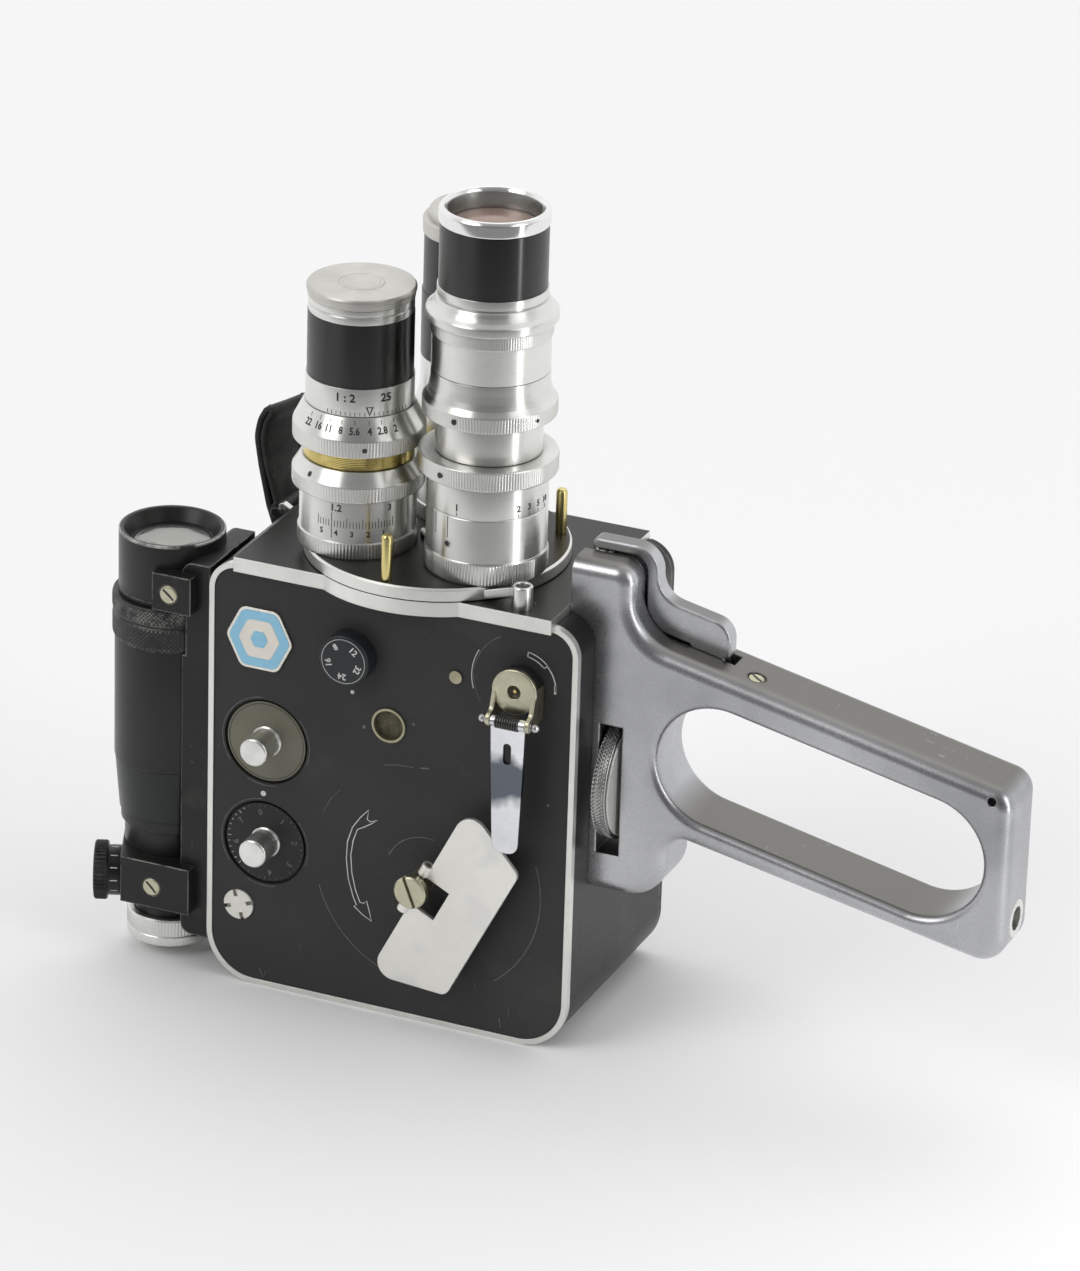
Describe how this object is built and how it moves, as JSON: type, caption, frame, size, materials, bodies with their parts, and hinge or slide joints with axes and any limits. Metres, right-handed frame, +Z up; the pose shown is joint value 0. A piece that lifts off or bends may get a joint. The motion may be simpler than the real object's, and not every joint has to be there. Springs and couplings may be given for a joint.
{
  "type": "movie camera",
  "caption": "Spring-wound movie camera standing on its back, with a turret of three lenses, a pistol grip, a tubular viewfinder, a folding winding key and a leather hand strap.",
  "frame": {"origin": "centre of the rear face on which the camera stands", "axes": "+X from the top face towards the pistol grip, +Y from the side plate towards the film door, +Z up from the rear face towards the lenses"},
  "size_m": [0.2538, 0.0774, 0.2232],
  "materials": {
    "black_enamel": "satin",
    "panel_black": "matte",
    "bright_aluminium": "polished",
    "cast_aluminium": "satin",
    "steel": "satin",
    "nickel": "polished",
    "brass": "satin",
    "lens_black": "satin",
    "lens_aluminium": "satin",
    "glass": "polished",
    "dial_olive": "matte",
    "dial_black": "matte",
    "dial_grey": "satin",
    "badge_enamel": "gloss",
    "white_nut": "satin",
    "strap_leather": "satin"
  },
  "bodies": {
    "camera": {"body_shell": "black_enamel", "side_trim": "bright_aluminium", "side_plate": "panel_black", "works_plate": "cast_aluminium", "hinge_pins": "steel", "badge_plate": "badge_enamel", "brass_fittings": "brass", "slotted_nut": "white_nut", "front_plate": "bright_aluminium", "turret_pivot": "steel", "release_socket": "bright_aluminium", "turret_catch": "steel", "film_gate": "cast_aluminium", "grip_frame": "cast_aluminium", "tripod_insert": "steel", "finder_base": "black_enamel", "finder_tube": "black_enamel", "finder_front_lens": "glass", "finder_clamps": "black_enamel", "slotted_screws": "brass", "strap_lugs": "panel_black", "strap": "strap_leather"},
    "turret": {"turret_disc": "panel_black", "turret_pins": "brass", "lens_a_barrel": "lens_black", "lens_a_helicoid": "brass", "lens_a_head": "lens_aluminium", "lens_b_barrel": "lens_aluminium", "lens_b_head": "lens_aluminium", "lens_c_barrel": "lens_black", "lens_c_head": "lens_black", "lens_elements": "glass"},
    "lens_a_focus": {"lens_a_focus_ring": "lens_aluminium"},
    "lens_a_iris": {"lens_a_iris_ring": "lens_aluminium"},
    "lens_a_lid": {"lens_a_cap": "lens_black"},
    "lens_b_focus": {"lens_b_focus_ring": "lens_aluminium"},
    "lens_b_iris": {"lens_b_iris_ring": "lens_aluminium"},
    "lens_c_focus": {"lens_c_focus_ring": "lens_aluminium"},
    "lens_c_lid": {"lens_c_cap": "lens_black"},
    "speed_selector": {"speed_dial": "dial_grey"},
    "footage_counter": {"counter_dial": "dial_olive", "counter_knob": "bright_aluminium"},
    "frame_counter": {"frame_dial": "dial_black", "frame_knob": "bright_aluminium"},
    "crank": {"crank_hub": "brass"},
    "crank_handle": {"crank_arm": "steel"},
    "winder": {"winding_arbor": "steel"},
    "winder_handle": {"winding_key": "nickel"},
    "mainspring": {"spring_barrel": "steel"},
    "centre_train": {"centre_wheel": "brass"},
    "shutter_blade": {"shutter": "steel"},
    "take_up": {"take_up_spool": "steel"},
    "door": {"film_door": "black_enamel"},
    "latch": {"door_latch": "steel"},
    "trigger_lever": {"trigger": "steel"},
    "release": {"release_button": "steel"},
    "grip_screw": {"thumbwheel": "steel"},
    "zoom_ring": {"finder_zoom_ring": "lens_black"},
    "eyepiece": {"finder_eyepiece": "bright_aluminium"},
    "parallax": {"parallax_knob": "panel_black"}
  },
  "joints": [
    {"name": "turret_turn", "type": "hinge", "parent": "camera", "child": "turret", "pos_m": [0, -0.0045, 0.1223], "axis": [0, 0, 1], "continuous": true},
    {"name": "lens_a_focusing", "type": "hinge", "parent": "turret", "child": "lens_a_focus", "pos_m": [-0.0181, -0.01495, 0.146], "axis": [0, 0, 1], "range_deg": [0, 300]},
    {"name": "lens_a_aperture", "type": "hinge", "parent": "turret", "child": "lens_a_iris", "pos_m": [-0.0181, -0.01495, 0.158], "axis": [0, 0, 1], "range_deg": [-45, 45]},
    {"name": "lens_a_cap_off", "type": "slide", "parent": "turret", "child": "lens_a_lid", "axis": [0, 0, 1], "range_m": [0, 0.03]},
    {"name": "lens_b_focusing", "type": "hinge", "parent": "turret", "child": "lens_b_focus", "pos_m": [0.0181, -0.01495, 0.155], "axis": [0, 0, 1], "range_deg": [0, 300]},
    {"name": "lens_b_aperture", "type": "hinge", "parent": "turret", "child": "lens_b_iris", "pos_m": [0.0181, -0.01495, 0.172], "axis": [0, 0, 1], "range_deg": [-45, 45]},
    {"name": "lens_c_focusing", "type": "hinge", "parent": "turret", "child": "lens_c_focus", "pos_m": [0, 0.0164, 0.15], "axis": [0, 0, 1], "range_deg": [0, 300]},
    {"name": "lens_c_cap_off", "type": "slide", "parent": "turret", "child": "lens_c_lid", "axis": [0, 0, 1], "range_m": [0, 0.03]},
    {"name": "speed_turn", "type": "hinge", "parent": "camera", "child": "speed_selector", "pos_m": [-0.0112, -0.0325, 0.1009], "axis": [0, -1, 0], "range_deg": [-120, 120]},
    {"name": "footage_turn", "type": "hinge", "parent": "camera", "child": "footage_counter", "pos_m": [-0.0352, -0.0325, 0.071], "axis": [0, -1, 0], "continuous": true},
    {"name": "frame_turn", "type": "hinge", "parent": "camera", "child": "frame_counter", "pos_m": [-0.0352, -0.0325, 0.0419], "axis": [0, -1, 0], "continuous": true},
    {"name": "crank_turn", "type": "hinge", "parent": "camera", "child": "crank", "pos_m": [0.0367, -0.0325, 0.1024], "axis": [0, -1, 0], "continuous": true},
    {"name": "crank_fold", "type": "hinge", "parent": "crank", "child": "crank_handle", "pos_m": [0.0367, -0.04055, 0.095], "axis": [-1, 0, 0], "range_deg": [0, 95]},
    {"name": "winding_turn", "type": "hinge", "parent": "camera", "child": "winder", "pos_m": [0.011, -0.0325, 0.042], "axis": [0, -1, 0], "continuous": true},
    {"name": "key_fold", "type": "hinge", "parent": "winder", "child": "winder_handle", "pos_m": [0.011, -0.0385, 0.042], "axis": [-0.4509, 0, -0.8926], "range_deg": [0, 90]},
    {"name": "barrel_turn", "type": "hinge", "parent": "camera", "child": "mainspring", "pos_m": [0.011, -0.0025, 0.042], "axis": [0, 1, 0], "continuous": true},
    {"name": "centre_turn", "type": "hinge", "parent": "camera", "child": "centre_train", "pos_m": [0.00354, -0.0025, 0.0762], "axis": [0, 1, 0], "continuous": true},
    {"name": "shutter_turn", "type": "hinge", "parent": "camera", "child": "shutter_blade", "pos_m": [0.00354, -0.0017, 0.1], "axis": [0, 0, 1], "continuous": true},
    {"name": "take_up_turn", "type": "hinge", "parent": "camera", "child": "take_up", "pos_m": [-0.02453, -0.0025, 0.07277], "axis": [0, 1, 0], "continuous": true},
    {"name": "door_swing", "type": "hinge", "parent": "camera", "child": "door", "pos_m": [-0.0541, 0.0295, 0.06], "axis": [0, 0, 1], "range_deg": [0, 105]},
    {"name": "latch_turn", "type": "hinge", "parent": "door", "child": "latch", "pos_m": [0.0362, 0.0325, 0.06], "axis": [0, 1, 0], "range_deg": [0, 90]},
    {"name": "trigger_pull", "type": "hinge", "parent": "camera", "child": "trigger_lever", "pos_m": [0.0812, -0.01175, 0.106], "axis": [0, -1, 0], "range_deg": [0, 5], "stiffness_Nm_per_rad": 0.4, "springref_deg": -11.46},
    {"name": "button_press", "type": "slide", "parent": "camera", "child": "release", "axis": [0, 0, -1], "range_m": [0, 0.003]},
    {"name": "grip_screw_turn", "type": "hinge", "parent": "camera", "child": "grip_screw", "pos_m": [0.0542, -0.01175, 0.0724], "axis": [1, 0, 0], "continuous": true},
    {"name": "zoom_turn", "type": "hinge", "parent": "camera", "child": "zoom_ring", "pos_m": [-0.0689, -0.0195, 0.097], "axis": [0, 0, 1], "range_deg": [-90, 90]},
    {"name": "eyepiece_turn", "type": "hinge", "parent": "camera", "child": "eyepiece", "pos_m": [-0.0689, -0.0195, 0.008], "axis": [0, 0, 1], "range_deg": [-180, 180]},
    {"name": "parallax_turn", "type": "hinge", "parent": "camera", "child": "parallax", "pos_m": [-0.07894, -0.02803, 0.0224], "axis": [-0.9219, -0.3875, 0], "range_deg": [-150, 150]}
  ],
  "couplings": [
    {"joint": "barrel_turn", "follows": "centre_turn", "ratio": -0.16667},
    {"joint": "shutter_turn", "follows": "centre_turn", "ratio": 4},
    {"joint": "take_up_turn", "follows": "centre_turn", "ratio": 0.29412},
    {"joint": "button_press", "follows": "trigger_pull", "m_per_rad": 0.032}
  ]
}
